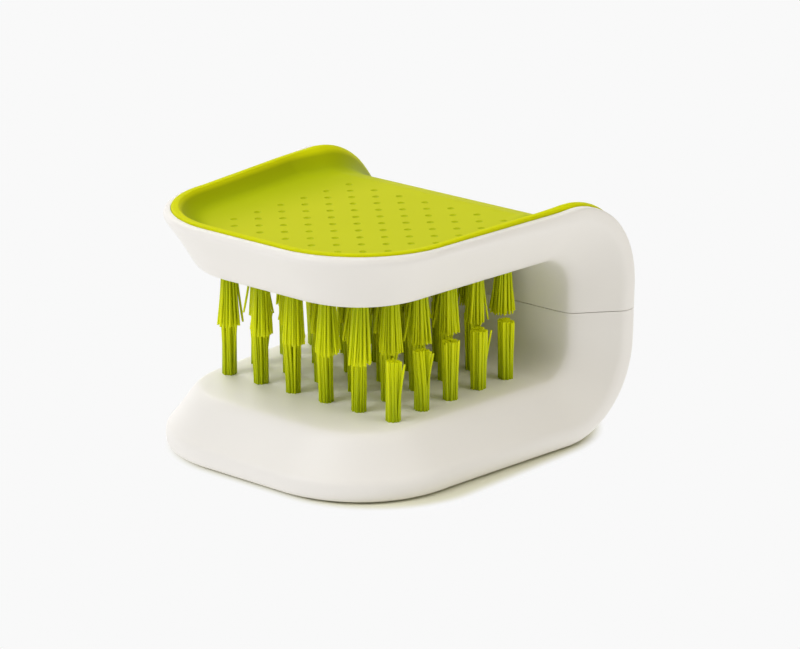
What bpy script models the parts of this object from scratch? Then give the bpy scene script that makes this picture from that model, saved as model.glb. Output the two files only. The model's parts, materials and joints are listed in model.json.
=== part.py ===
"""Cutlery brush: a C-shaped hand brush with facing tufts inside its throat and a soft grip pad on top.

Metres, +Z up.  The origin is on the ground, in the middle of the footprint.  X runs across the brush,
-Y is its open front and +Y its closed spine.  Both halves of the C are the same slab bent round the
throat, so their shapes are worked out flat, in x, station and depth, and then bent: station runs along
the throat surface from the seam in the spine to the tip of an arm, and depth runs from the throat
surface outwards through the slab.
"""

import math

import bmesh
import bpy
from mathutils import Matrix, Vector

MM = 0.001

# The C seen from the side
ARM_THICKNESS = 14.0 * MM
THROAT_HEIGHT = 28.0 * MM
OVERALL_DEPTH = 88.6 * MM  # with the lip of the grip pad on the back
THROAT_CORNER_RADIUS = 7.5 * MM
SPINE_SWELL = 0.5 * MM  # the slab is thicker by this much round the spine
HOUSING_STANDOFF = 0.4 * MM  # the foot pad lifts the housing by this much

# The throat face in plan, narrower at the front than at the spine
FACE_HALF_WIDTH_FRONT = 28.1 * MM
FACE_HALF_WIDTH_REAR = 32.5 * MM
FACE_CORNER_RADIUS = 17.5 * MM

# How far the walls spread outwards from the throat face
FLARE_FRONT = 9.3 * MM
FLARE_SIDE = 9.2 * MM
FLARE_REAR = 10.1 * MM

# Walls and fits
FACE_WALL = 5.0 * MM
SIDE_WALL = 2.6 * MM
FIT_GAP = 0.3 * MM
CUT_OVERRUN = 2.0 * MM

# Tufts, in straight rows across the brush; the upper rows stand over the gaps of the lower ones
TUFT_FRONT_MARGIN = 8.7 * MM  # from the front edge of the throat face to the first upper row
TUFT_WALL_MARGIN = 6.6 * MM  # from the last upper row to the throat wall
TUFT_SIDE_MARGIN = 3.1 * MM  # from the ends of a lower row to the side edge, taken at the front
LOWER_ROWS = 5
LOWER_TUFTS = 6
LOWER_TUFT_LENGTH = 14.0 * MM
LOWER_TIP_CIRCLE = 1.15 * MM
UPPER_ROWS = 6
UPPER_TUFTS = 5
UPPER_TUFT_LENGTH = 14.7 * MM
UPPER_TIP_CIRCLE = 1.9 * MM
STRANDS_ROUND_TUFT = 6
STRAND_SIDES = 3
STRAND_RADIUS = 0.42 * MM
STRAND_TIP_RADIUS = 0.36 * MM
ROOT_CIRCLE = 1.05 * MM
ROOT_SINK = 1.0 * MM
STRAND_RAGGEDNESS = 0.5 * MM
STRIP_THICKNESS = 3.0 * MM
STRIP_MARGIN = 1.0 * MM

# Grip pad, and the lid under it that closes the upper arm
PAD_FLOOR_SINK = 3.1 * MM
PAD_LIP_PROUD = 0.5 * MM  # down the back
PAD_LIP_PROUD_FRONT = 0.3 * MM
PAD_THICKNESS = 1.8 * MM
PAD_BEND_DIP = 2.0 * MM
PAD_DIP_REACH = 3.4 * MM  # the dip starts this far before the bend and ends this far past it
PAD_SLOPE_WIDTH = 13.0 * MM
PAD_END_ABOVE_SEAM = 3.0 * MM
PAD_END_RADIUS = 10.0 * MM
PAD_REAR_DRAW_IN = 0.8 * MM
LID_THICKNESS = 1.6 * MM
LID_LEDGE = 2.2 * MM
LID_REAR_MARGIN = 7.0 * MM

# Underside
COVER_THICKNESS = 1.8 * MM
COVER_LEDGE = 1.8 * MM
COVER_BORDER = 2.4 * MM
COVER_REAR_MARGIN = 1.5 * MM
FOOT_THICKNESS = 1.2 * MM

# Screws that pull the two housings together, and the cored spine round them
SCREW_SHANK_RADIUS = 1.5 * MM
SCREW_HEAD_RADIUS = 2.8 * MM
SCREW_HEAD_HEIGHT = 2.0 * MM
SCREW_LENGTH = 22.0 * MM
SCREW_SPACING = 44.0 * MM
SCREW_SETBACK = 4.7 * MM  # from the throat wall
SCREW_HEAD_ABOVE_SEAM = 7.0 * MM
CORE_DEPTH = 12.0 * MM
CORE_BOSS_RADIUS = 4.0 * MM

# Smoothness
CORNER_STEPS = 8
BEND_STEPS = 8
CURVE_STEPS = 2
STRIP_END_STEPS = 4
SCREW_SIDES = 16
MERGE_DISTANCE = 0.01 * MM

# Control points of the flared wall from the throat face to the rim, as shares of the flare's width and
# of the arm's thickness
FLARE_SHARES = ((-0.50, 0.0), (-0.02, 0.0), (0.20, 0.06), (0.47, 0.30), (0.82, 0.59), (1.0, 0.70),
                (1.0, 0.88), (0.93, 1.0))
# Control points of the pad from its edge inwards, as shares of the slope's width and of the height from
# the pad's floor to the top of its lip
PAD_SHARES = ((0.0, 0.62), (0.0, 0.90), (0.015, 1.0), (0.20, 1.0), (0.35, 0.58), (0.65, 0.03), (1.0, 0.0))
PAD_EDGE_SHARE = 0.81  # the pad ends at this share of the flare's width
CAVITY_FLOOR_SHARE = 0.50  # the flare at the depth where the arms are hollow
CAVITY_LEDGE_SHARE = 0.58  # the flare at the depth of the lid's ledge
FLARE_BOTTOM_SHARE = 0.93  # the flare at the rim and at the underside

# Levels and stations that follow from the sizes above
THROAT_FLOOR = HOUSING_STANDOFF + ARM_THICKNESS
THROAT_ROOF = THROAT_FLOOR + THROAT_HEIGHT
SEAM_LEVEL = THROAT_FLOOR + THROAT_HEIGHT / 2
SWELL_SHARE = SPINE_SWELL / ARM_THICKNESS
THROAT_WALL_Y = OVERALL_DEPTH / 2 - (ARM_THICKNESS + PAD_LIP_PROUD) * (1 + SWELL_SHARE)
FACE_FRONT_Y = FLARE_FRONT - OVERALL_DEPTH / 2
FIRST_ROW_Y = FACE_FRONT_Y + TUFT_FRONT_MARGIN
ROW_PITCH = (THROAT_WALL_Y - TUFT_WALL_MARGIN - FIRST_ROW_Y) / (UPPER_ROWS - 1)
TUFT_PITCH = 2 * (FACE_HALF_WIDTH_FRONT - TUFT_SIDE_MARGIN) / (LOWER_TUFTS - 1)
BEND_CENTRE_Y = THROAT_WALL_Y - THROAT_CORNER_RADIUS
BEND_START = THROAT_HEIGHT / 2 - THROAT_CORNER_RADIUS
BEND_LENGTH = THROAT_CORNER_RADIUS * math.pi / 2
BEND_END = BEND_START + BEND_LENGTH
SWELL_START = {1: BEND_START + BEND_LENGTH / 2, -1: BEND_START}  # of the upper and the lower half
TIP_STATION = BEND_END + BEND_CENTRE_Y - FACE_FRONT_Y
FAN_STATION = TIP_STATION - FACE_CORNER_RADIUS
FLARE_GROWTH_LENGTH = THROAT_WALL_Y + THROAT_CORNER_RADIUS - FACE_FRONT_Y
PAD_FLOOR_DEPTH = ARM_THICKNESS - PAD_FLOOR_SINK
PAD_UNDERSIDE_DEPTH = PAD_FLOOR_DEPTH - PAD_THICKNESS
RECESS_DEPTH = PAD_UNDERSIDE_DEPTH - FIT_GAP
LID_UNDERSIDE_DEPTH = RECESS_DEPTH - LID_THICKNESS
STRIP_HALF_WIDTH = ROOT_CIRCLE + STRAND_RADIUS + STRIP_MARGIN
COVER_INNER_DEPTH = ARM_THICKNESS + HOUSING_STANDOFF - FOOT_THICKNESS - FIT_GAP - COVER_THICKNESS

WHITE = (0.86, 0.84, 0.80, 1.0)
GREEN = (0.52, 0.57, 0.02, 1.0)
BRISTLE_GREEN = (0.38, 0.47, 0.01, 1.0)
STEEL = (0.62, 0.62, 0.60, 1.0)

UPPER = 1
LOWER = -1


def clear_scene():
    """Remove whatever the opened scene holds."""
    for scene_object in list(bpy.data.objects):
        bpy.data.objects.remove(scene_object, do_unlink=True)


def new_collection(name):
    """Make a collection in the scene."""
    made = bpy.data.collections.new(name)
    bpy.context.scene.collection.children.link(made)
    return made


def new_material(name, colour, roughness, metallic=0.0):
    """A plain Principled material."""
    made = bpy.data.materials.new(name)
    made.use_nodes = True
    shader = made.node_tree.nodes["Principled BSDF"]
    shader.inputs["Base Color"].default_value = colour
    shader.inputs["Roughness"].default_value = roughness
    shader.inputs["Metallic"].default_value = metallic
    return made


def new_object(name, bm, where, finish=None, location=Vector()):
    """Turn a bmesh into an object; without a finish it is a cutter."""
    bmesh.ops.recalc_face_normals(bm, faces=bm.faces)
    mesh = bpy.data.meshes.new(name)
    bm.to_mesh(mesh)
    bm.free()
    mesh.shade_smooth()
    mesh.set_sharp_from_angle(angle=math.radians(35))
    made = bpy.data.objects.new(name, mesh)
    made.location = location
    where.objects.link(made)
    if finish is None:
        made.hide_render = True
        made.display_type = "WIRE"
    else:
        mesh.materials.append(finish)
    return made


def add_boolean(target, cutter, operation="DIFFERENCE"):
    """Cut or join another object with an exact boolean."""
    modifier = target.modifiers.new(cutter.name, "BOOLEAN")
    modifier.operation = operation
    modifier.solver = "EXACT"
    modifier.object = cutter


def clamp(value, low=0.0, high=1.0):
    """Keep a value between two limits."""
    return min(max(value, low), high)


def smooth_curve(control):
    """Points on the quadratic B-spline of a control polygon."""
    points = []
    last = len(control) - 2
    for index in range(1, last + 1):
        before, corner, after = (Vector(control[index + step]) for step in (-1, 0, 1))
        start = before if index == 1 else (before + corner) / 2
        end = after if index == last else (corner + after) / 2
        for step in range(CURVE_STEPS):
            share = step / CURVE_STEPS
            points.append(start.lerp(corner, share).lerp(corner.lerp(end, share), share))
    points.append(Vector(control[-1]))
    return points


def swell(station, half):
    """Factor for a depth: the slab is thicker round the spine, and this fades over one length of the bend."""
    share = clamp((SWELL_START[half] + BEND_LENGTH - station) / BEND_LENGTH)
    return 1 + SWELL_SHARE * share ** 2 * (3 - 2 * share)


def bend(x, station, depth, half):
    """Put a flat point on the C; half is UPPER or LOWER."""
    depth *= swell(station, half)
    turn = clamp((station - BEND_START) / THROAT_CORNER_RADIUS, 0.0, math.pi / 2)
    radius = THROAT_CORNER_RADIUS + depth
    forward = max(station - BEND_END, 0.0)
    rise = min(station, BEND_START) + radius * math.sin(turn)
    return Vector((x, BEND_CENTRE_Y + radius * math.cos(turn) - forward, SEAM_LEVEL + half * rise))


def straight_y(station):
    """The depth at which a station would lie if the arm ran on straight."""
    return BEND_CENTRE_Y + BEND_END - station


def face_half_width(station):
    """Half the width of the throat face at a station."""
    y = min(straight_y(station), THROAT_WALL_Y)
    share = (y - FACE_FRONT_Y) / (THROAT_WALL_Y - FACE_FRONT_Y)
    return FACE_HALF_WIDTH_FRONT + share * (FACE_HALF_WIDTH_REAR - FACE_HALF_WIDTH_FRONT)


def side_flare(station):
    """Width of the flare at the side of the C, which grows towards the spine."""
    share = clamp((straight_y(station) - FACE_FRONT_Y) / FLARE_GROWTH_LENGTH)
    return FLARE_SIDE + share ** 2 * (FLARE_REAR - FLARE_SIDE)


def side_stations(first):
    """Stations along the straight side, close together only where the slab bends."""
    bends = [BEND_START + BEND_LENGTH * step / BEND_STEPS for step in range(BEND_STEPS + 1)]
    middle = (BEND_END + FAN_STATION) / 2
    return [first] + [station for station in bends + [middle] if station > first + FIT_GAP]


def tip_corner(half_width, radius):
    """Right-hand front corner of an outline: x, station and outward direction of its points."""
    for step in range(CORNER_STEPS + 1):
        angle = math.pi / 2 * step / CORNER_STEPS
        across, along = math.cos(angle), math.sin(angle)
        x = half_width - radius + radius * across
        yield x, FAN_STATION + radius * along, across, along


def face_outline(first):
    """Right half of the throat face's outline: x, station, outward direction and width of the flare."""
    points = [(face_half_width(s), s, 1.0, 0.0, side_flare(s)) for s in side_stations(first)]
    for x, station, across, along in tip_corner(face_half_width(FAN_STATION), FACE_CORNER_RADIUS):
        flare = side_flare(FAN_STATION) * across ** 2 + FLARE_FRONT * along ** 2
        points.append((x, station, across, along, flare))
    return points


def mirrored(right):
    """Complete a ring whose right half runs from the rear to the front."""
    return right + [Vector((-point.x, point.y, point.z)) for point in reversed(right)]


def loft(rings):
    """A closed solid through rings that are mirror images of themselves in x."""
    bm = bmesh.new()
    loops = [[bm.verts.new(point) for point in ring] for ring in rings]
    count = len(rings[0])
    for lower, upper in zip(loops, loops[1:]):
        for index in range(count):
            after = (index + 1) % count
            bm.faces.new((lower[index], lower[after], upper[after], upper[index]))
    for loop in (loops[0], loops[-1]):
        for index in range(count // 2 - 1):
            opposite = count - 1 - index
            bm.faces.new((loop[index], loop[index + 1], loop[opposite - 1], loop[opposite]))
    return bm


def slab_ring(outline, flare_share, depth, half):
    """A ring round the bent slab, spread from the throat face by a share of the flare."""
    right = []
    for x, station, across, along, flare in outline:
        spread = flare * flare_share
        right.append(bend(x + across * spread, station + along * spread, depth, half))
    return mirrored(right)


def plan_ring(flare_share, border, rear_y, z):
    """A level ring inside an arm: the throat face's outline, spread and then drawn in by a border."""
    right = []
    first = BEND_CENTRE_Y + BEND_END - rear_y
    for x, station, across, along, flare in face_outline(first):
        spread = flare * flare_share - border
        right.append(Vector((x + across * spread, straight_y(station + along * spread), z)))
    return mirrored(right)


def arm_level(depth, half):
    """Height of a depth inside the straight part of an arm."""
    return THROAT_ROOF + depth if half == UPPER else THROAT_FLOOR - depth


def housing_solid(half):
    """The outer form of one housing, from the seam to the tip of its arm."""
    outline = face_outline(FIT_GAP / 2)
    shares = smooth_curve(FLARE_SHARES)
    return loft([slab_ring(outline, width, depth * ARM_THICKNESS, half) for width, depth in shares])


def pad_half_width(station):
    """Half the width of the grip pad, which narrows where it goes down the back."""
    drawn = clamp((BEND_END - station) / BEND_LENGTH) ** 1.5
    return face_half_width(station) + side_flare(station) * PAD_EDGE_SHARE - PAD_REAR_DRAW_IN * drawn


def pad_outline():
    """Right half of the pad's outline: x, station and outward direction, from the back to the front."""
    corner_end = PAD_END_ABOVE_SEAM + PAD_END_RADIUS
    corner_x = pad_half_width(corner_end) - PAD_END_RADIUS
    points = []
    for step in range(CORNER_STEPS):
        angle = math.pi / 2 * (step / CORNER_STEPS - 1)
        across, along = math.cos(angle), math.sin(angle)
        station = corner_end + PAD_END_RADIUS * along
        points.append((corner_x + PAD_END_RADIUS * across, station, across, along))
    points += [(pad_half_width(s), s, 1.0, 0.0) for s in side_stations(corner_end)]
    radius = FACE_CORNER_RADIUS + FLARE_FRONT * PAD_EDGE_SHARE
    points += tip_corner(pad_half_width(FAN_STATION), radius)
    return points


def bend_dip(station):
    """How much deeper the pad's floor lies where it turns down the back."""
    share = clamp((BEND_END + PAD_DIP_REACH - station) / (BEND_LENGTH + 2 * PAD_DIP_REACH))
    return PAD_BEND_DIP * math.sin(math.pi * share) ** 2


def lip_proud(station):
    """How far the pad's lip stands out of the housing, which grows from the front to the back."""
    share = clamp((TIP_STATION - station) / (TIP_STATION - BEND_END))
    return PAD_LIP_PROUD_FRONT + share * (PAD_LIP_PROUD - PAD_LIP_PROUD_FRONT)


def pad_ring(inset, depth, sunk_share, lip_share=0.0):
    """A ring of the pad, which follows a share of the floor's dip and rises by a share of the lip."""
    right = []
    for x, station, across, along in pad_outline():
        place = station - along * inset
        level = depth - sunk_share * bend_dip(place) + lip_share * lip_proud(place)
        right.append(bend(x - across * inset, place, level, UPPER))
    return mirrored(right)


def grip_pad_solid():
    """The soft pad: a flat floor with a rounded lip all round, bent down the back of the spine."""
    rings = [pad_ring(FIT_GAP, PAD_UNDERSIDE_DEPTH, 1.0)]
    for width, height in smooth_curve(PAD_SHARES):
        depth = PAD_FLOOR_DEPTH + height * PAD_FLOOR_SINK
        rings.append(pad_ring(FIT_GAP + width * PAD_SLOPE_WIDTH, depth, 1.0 - clamp(height), height))
    return loft(rings)


def pad_recess_cutter():
    """What is cut from the upper housing for the pad."""
    above = ARM_THICKNESS + PAD_LIP_PROUD + CUT_OVERRUN
    return loft([pad_ring(0.0, RECESS_DEPTH, 1.0), pad_ring(0.0, above, 0.0)])


def stadium(half_length, half_width, z):
    """A level ring with straight sides and round ends."""
    right = []
    for step in range(2 * STRIP_END_STEPS + 1):
        angle = math.pi / 2 * (1 - step / STRIP_END_STEPS)
        right.append(Vector((half_length + half_width * math.cos(angle), half_width * math.sin(angle), z)))
    return mirrored(right)


def strip_solid(tufts, clearance, top, bottom):
    """The strip that a row of tufts stands in, or with a clearance the groove for it."""
    half_length = (tufts - 1) / 2 * TUFT_PITCH
    rings = [stadium(half_length, STRIP_HALF_WIDTH + clearance, z) for z in (bottom, top)]
    return loft(rings)


def add_rod(bm, start, end, start_radius, end_radius, sides, spin=0.0):
    """Add a closed round or prismatic rod between two points."""
    axis = end - start
    turn = axis.to_track_quat("Z", "Y").to_matrix().to_4x4()
    placed = Matrix.Translation((start + end) / 2) @ turn @ Matrix.Rotation(spin, 4, "Z")
    bmesh.ops.create_cone(bm, cap_ends=True, segments=sides, radius1=start_radius, radius2=end_radius,
                          depth=axis.length, matrix=placed)


def tuft_strands(bm, x, length, tip_circle, half):
    """Add one tuft: a middle strand and a circle of strands that spreads towards the cut tips."""
    golden_share = (math.sqrt(5) - 1) / 2
    for number in range(STRANDS_ROUND_TUFT + 1):
        angle = 2 * math.pi * number / STRANDS_ROUND_TUFT
        outer = 1 if number < STRANDS_ROUND_TUFT else 0
        direction = Vector((math.cos(angle), math.sin(angle), 0)) * outer
        uneven = (number * golden_share + x / TUFT_PITCH * golden_share) % 1.0
        tip = -half * (length - uneven * STRAND_RAGGEDNESS)
        root = Vector((x, 0, half * ROOT_SINK)) + direction * ROOT_CIRCLE
        end = Vector((x, 0, tip)) + direction * tip_circle
        add_rod(bm, root, end, STRAND_RADIUS, STRAND_TIP_RADIUS, STRAND_SIDES, angle)


def row_positions(half, rows):
    """Depths of the rows, front row first; the lower rows stand half a pitch behind the upper ones."""
    lag = 0.0 if half == UPPER else ROW_PITCH / 2
    return [FIRST_ROW_Y + lag + row * ROW_PITCH for row in range(rows)]


def bristle_rows(half, rows, tufts, length, tip_circle, parts, cutters, finish, housing):
    """The rows of one arm, each a strip with its tufts, let into the throat face."""
    side = "upper" if half == UPPER else "lower"
    face = arm_level(0.0, half)
    for number, y in enumerate(row_positions(half, rows), 1):
        name = f"{side}_bristle_row_{number}"
        place = Vector((0, y, face))
        back = half * STRIP_THICKNESS
        strip = new_object(name, strip_solid(tufts, 0.0, 0.0, back), parts, finish, place)
        bm = bmesh.new()
        for tuft in range(tufts):
            tuft_strands(bm, (tuft - (tufts - 1) / 2) * TUFT_PITCH, length, tip_circle, half)
        strands = new_object(f"{name}_strands", bm, cutters, location=place)
        add_boolean(strip, strands, "UNION")
        mouth = -half * CUT_OVERRUN
        groove_back = half * (STRIP_THICKNESS + FIT_GAP)
        groove_solid = strip_solid(tufts, FIT_GAP, mouth, groove_back)
        groove = new_object(f"{name}_groove", groove_solid, cutters, location=place)
        add_boolean(housing, groove)


def cavity_cutter(half, ledge_depth, ledge_share, ledge_border, rear_y):
    """The hollow of an arm behind its tuft face, as wide as the flared wall allows."""
    floor = plan_ring(CAVITY_FLOOR_SHARE, SIDE_WALL, rear_y, arm_level(FACE_WALL, half))
    mouth = plan_ring(ledge_share, ledge_border, rear_y, arm_level(ledge_depth + CUT_OVERRUN, half))
    return loft([floor, mouth])


def core_spine(cutters, housing):
    """Pockets that core the lower spine from the seam, on both sides of the two screw bosses."""
    front = THROAT_WALL_Y + SIDE_WALL
    rear = THROAT_WALL_Y + ARM_THICKNESS - SIDE_WALL
    side = FACE_HALF_WIDTH_REAR - SIDE_WALL
    boss_inside = SCREW_SPACING / 2 - CORE_BOSS_RADIUS
    boss_outside = SCREW_SPACING / 2 + CORE_BOSS_RADIUS
    bays = {"left": (-side, -boss_outside), "middle": (-boss_inside, boss_inside), "right": (boss_outside, side)}
    for name, (left, right) in bays.items():
        size = Vector((right - left, rear - front, CORE_DEPTH + CUT_OVERRUN))
        middle = Vector(((left + right) / 2, (front + rear) / 2, SEAM_LEVEL + (CUT_OVERRUN - CORE_DEPTH) / 2))
        bm = bmesh.new()
        bmesh.ops.create_cube(bm, size=1.0, matrix=Matrix.Translation(middle) @ Matrix.Diagonal(size.to_4d()))
        add_boolean(housing, new_object(f"spine_core_{name}", bm, cutters))


def turned(name, outline, where, finish=None, location=Vector()):
    """A solid turned about Z from a closed profile of radius and height, listed from top to bottom."""
    bm = bmesh.new()
    points = [bm.verts.new((radius, 0, z)) for radius, z in outline]
    for start, end in zip(points, points[1:]):
        bm.edges.new((start, end))
    made = new_object(name, bm, where, finish, location)
    screw = made.modifiers.new("Turn", "SCREW")
    screw.axis = "Z"
    screw.steps = SCREW_SIDES
    screw.render_steps = SCREW_SIDES
    screw.use_merge_vertices = True
    screw.merge_threshold = MERGE_DISTANCE
    return made


def spine_screws(parts, cutters, finish, upper_housing, lower_housing):
    """Two screws down the spine, with heads hidden under the pad, and the holes they run in."""
    y = THROAT_WALL_Y + SCREW_SETBACK
    seat = SEAM_LEVEL + SCREW_HEAD_ABOVE_SEAM
    above = ARM_THICKNESS + THROAT_HEIGHT / 2
    shank_end = SCREW_HEAD_HEIGHT - SCREW_LENGTH
    point_end = shank_end - 2 * SCREW_SHANK_RADIUS
    head = ((0.0, SCREW_HEAD_HEIGHT), (SCREW_HEAD_RADIUS, SCREW_HEAD_HEIGHT), (SCREW_HEAD_RADIUS, 0.0))
    shank = ((SCREW_SHANK_RADIUS, 0.0), (SCREW_SHANK_RADIUS, shank_end), (0.0, point_end))
    head_bore = SCREW_HEAD_RADIUS + FIT_GAP
    shank_bore = SCREW_SHANK_RADIUS + FIT_GAP
    bore_end = point_end - FIT_GAP
    bore = ((0.0, above), (head_bore, above), (head_bore, -FIT_GAP), (shank_bore, -FIT_GAP),
            (shank_bore, bore_end), (0.0, bore_end))
    for side, x in (("left", -SCREW_SPACING / 2), ("right", SCREW_SPACING / 2)):
        place = Vector((x, y, seat))
        turned(f"spine_screw_{side}", head + shank, parts, finish, place)
        hole = turned(f"spine_screw_{side}_hole", bore, cutters, location=place)
        add_boolean(upper_housing, hole)
        add_boolean(lower_housing, hole)


def build_upper(parts, cutters, white, green):
    """Upper housing, the lid that closes its arm and the grip pad over both."""
    housing = new_object("upper_housing", housing_solid(UPPER), parts, white)
    add_boolean(housing, new_object("pad_recess", pad_recess_cutter(), cutters))
    rear_y = BEND_CENTRE_Y - LID_REAR_MARGIN
    ledge_depth = LID_UNDERSIDE_DEPTH - FIT_GAP
    lid_border = SIDE_WALL - LID_LEDGE
    pocket = [plan_ring(CAVITY_LEDGE_SHARE, lid_border, rear_y, arm_level(depth, UPPER))
              for depth in (ledge_depth, RECESS_DEPTH + CUT_OVERRUN)]
    add_boolean(housing, new_object("lid_pocket", loft(pocket), cutters))
    cavity = cavity_cutter(UPPER, ledge_depth, CAVITY_LEDGE_SHARE, SIDE_WALL, rear_y - LID_LEDGE)
    add_boolean(housing, new_object("upper_cavity", cavity, cutters))
    lid = [plan_ring(CAVITY_LEDGE_SHARE, lid_border + FIT_GAP, rear_y - FIT_GAP, arm_level(depth, UPPER))
           for depth in (LID_UNDERSIDE_DEPTH, RECESS_DEPTH)]
    new_object("pad_lid", loft(lid), parts, white)
    new_object("grip_pad", grip_pad_solid(), parts, green)
    return housing


def build_lower(parts, cutters, white, green):
    """Lower housing, the cover that closes it from below and the foot pad it stands on."""
    housing = new_object("lower_housing", housing_solid(LOWER), parts, white)
    rear_y = BEND_CENTRE_Y - COVER_REAR_MARGIN
    ledge_depth = COVER_INNER_DEPTH - FIT_GAP
    pocket = [plan_ring(FLARE_BOTTOM_SHARE, COVER_BORDER, rear_y, arm_level(depth, LOWER))
              for depth in (ledge_depth, ARM_THICKNESS + CUT_OVERRUN)]
    add_boolean(housing, new_object("cover_pocket", loft(pocket), cutters))
    inner_border = COVER_BORDER + COVER_LEDGE
    cavity = cavity_cutter(LOWER, ledge_depth, FLARE_BOTTOM_SHARE, inner_border, rear_y - COVER_LEDGE)
    add_boolean(housing, new_object("lower_cavity", cavity, cutters))
    cover_outer_depth = COVER_INNER_DEPTH + COVER_THICKNESS
    foot_inner_depth = cover_outer_depth + FIT_GAP
    plates = (("base_cover", COVER_INNER_DEPTH, cover_outer_depth, white),
              ("foot_pad", foot_inner_depth, foot_inner_depth + FOOT_THICKNESS, green))
    for name, inner, outer, finish in plates:
        rings = [plan_ring(FLARE_BOTTOM_SHARE, COVER_BORDER + FIT_GAP, rear_y - FIT_GAP, arm_level(depth, LOWER))
                 for depth in (inner, outer)]
        new_object(name, loft(rings), parts, finish)
    return housing


def main():
    """Build the brush."""
    clear_scene()
    parts = new_collection("cutlery_brush")
    cutters = new_collection("cutters")
    white = new_material("white_plastic", WHITE, 0.35)
    green = new_material("green_soft_grip", GREEN, 0.6)
    bristle = new_material("green_bristle", BRISTLE_GREEN, 0.4)
    steel = new_material("screw_steel", STEEL, 0.3, 1.0)
    upper_housing = build_upper(parts, cutters, white, green)
    lower_housing = build_lower(parts, cutters, white, green)
    bristle_rows(UPPER, UPPER_ROWS, UPPER_TUFTS, UPPER_TUFT_LENGTH, UPPER_TIP_CIRCLE,
                 parts, cutters, bristle, upper_housing)
    bristle_rows(LOWER, LOWER_ROWS, LOWER_TUFTS, LOWER_TUFT_LENGTH, LOWER_TIP_CIRCLE,
                 parts, cutters, bristle, lower_housing)
    core_spine(cutters, lower_housing)
    spine_screws(parts, cutters, steel, upper_housing, lower_housing)


main()
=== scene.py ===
# %% [markdown]
# # Dressing a cutlery brush
#
# The brush is a C seen from the side. Two white arms hold facing tufts of green bristle, a spine joins
# them at the back, and a soft green pad covers the top. A knife is drawn through the throat, between
# the tufts, while the hand rests on the pad.
#
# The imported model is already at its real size, so it serves as a frame: every new piece is worked out in
# metres in the same place. The lesson builds the shells, the pad and the bristles as surfaces with numpy,
# then gives each its finish, and ends with light, floor and camera.

# %% Open the frame
import bpy
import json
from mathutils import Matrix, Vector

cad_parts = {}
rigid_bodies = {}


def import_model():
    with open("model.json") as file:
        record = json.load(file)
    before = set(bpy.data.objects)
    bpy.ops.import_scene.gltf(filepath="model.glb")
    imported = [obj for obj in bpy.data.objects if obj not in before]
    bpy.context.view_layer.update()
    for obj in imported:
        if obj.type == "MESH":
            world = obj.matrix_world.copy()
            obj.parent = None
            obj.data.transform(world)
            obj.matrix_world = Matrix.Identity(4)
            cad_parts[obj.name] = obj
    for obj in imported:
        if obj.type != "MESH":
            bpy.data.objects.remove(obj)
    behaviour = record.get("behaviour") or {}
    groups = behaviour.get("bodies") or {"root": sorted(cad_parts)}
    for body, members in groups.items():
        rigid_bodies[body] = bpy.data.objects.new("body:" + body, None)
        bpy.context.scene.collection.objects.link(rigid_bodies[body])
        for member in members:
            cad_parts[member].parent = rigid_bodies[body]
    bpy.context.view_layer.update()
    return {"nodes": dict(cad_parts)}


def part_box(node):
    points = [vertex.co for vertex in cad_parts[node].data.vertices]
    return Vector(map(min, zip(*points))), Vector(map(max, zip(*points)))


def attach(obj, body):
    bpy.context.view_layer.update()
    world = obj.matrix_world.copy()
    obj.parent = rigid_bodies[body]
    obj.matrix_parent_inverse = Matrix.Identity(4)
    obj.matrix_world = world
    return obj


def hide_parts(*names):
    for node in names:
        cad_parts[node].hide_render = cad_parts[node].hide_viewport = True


for left_over in list(bpy.data.objects):
    bpy.data.objects.remove(left_over, do_unlink=True)

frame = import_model()

import json
import math

import bmesh
import numpy as np
from mathutils import Matrix, Vector

# %% [markdown]
# ## Measures
#
# A few boxes of the frame give most levels: where the shells stand, where the seam runs, and how far the
# flared walls reach. The rest are sizes of the moulding itself, such as the thickness of the arms.

# %% Levels of the C
MM = 0.001
UPPER = 1
LOWER = -1

shell_low, shell_high = (np.array(corner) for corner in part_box("lower_housing"))
top_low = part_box("upper_housing")[0]

ARM = 14.0 * MM
SPINE_SWELL = 0.5 * MM
THROAT_CORNER = 7.5 * MM
FLARE_FRONT = 9.3 * MM
FLARE_SIDE = 9.2 * MM
FLARE_REAR = 10.1 * MM
FACE_CORNER = 17.5 * MM
FACE_HALF_FRONT = 28.1 * MM

THROAT_FLOOR = shell_low[2] + ARM
MIDDLE = (shell_high[2] + top_low[2]) / 2
THROAT_ROOF = 2 * MIDDLE - THROAT_FLOOR
WALL_Y = shell_high[1] - ARM - SPINE_SWELL
FACE_FRONT_Y = shell_low[1] + FLARE_FRONT
FACE_HALF_REAR = shell_high[0] - FLARE_REAR

BEND_Y = WALL_Y - THROAT_CORNER
BEND_START = (THROAT_ROOF - THROAT_FLOOR) / 2 - THROAT_CORNER
BEND_LENGTH = THROAT_CORNER * math.pi / 2
BEND_END = BEND_START + BEND_LENGTH
TIP = BEND_END + BEND_Y - FACE_FRONT_Y
FAN = TIP - FACE_CORNER
print("throat", THROAT_FLOOR, THROAT_ROOF, "middle", MIDDLE, "wall", WALL_Y, "tip station", TIP)

# %% [markdown]
# ## Flat shapes, bent
#
# Both arms and the spine are one slab, bent round the throat. So the shells are drawn flat, with a place
# across, a station along the throat surface and a depth through the slab, and one formula bends them.
# A moulded shell could also be sculpted from a subdivided cage, but a formula keeps the throat, the rim
# and the pad parallel all the way round the bend.

# %% Bend
SWELL_FADE = {UPPER: (12.0 * MM, 24.0 * MM), LOWER: (6.0 * MM, 18.0 * MM)}


def swell(station, half):
    """The slab is a little thicker round the spine; this factor fades along the arms with a smooth step."""
    first, last = SWELL_FADE[half]
    share = np.clip((last - station) / (last - first), 0.0, 1.0)
    return 1 + SPINE_SWELL / ARM * share ** 2 * (3 - 2 * share)


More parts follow.
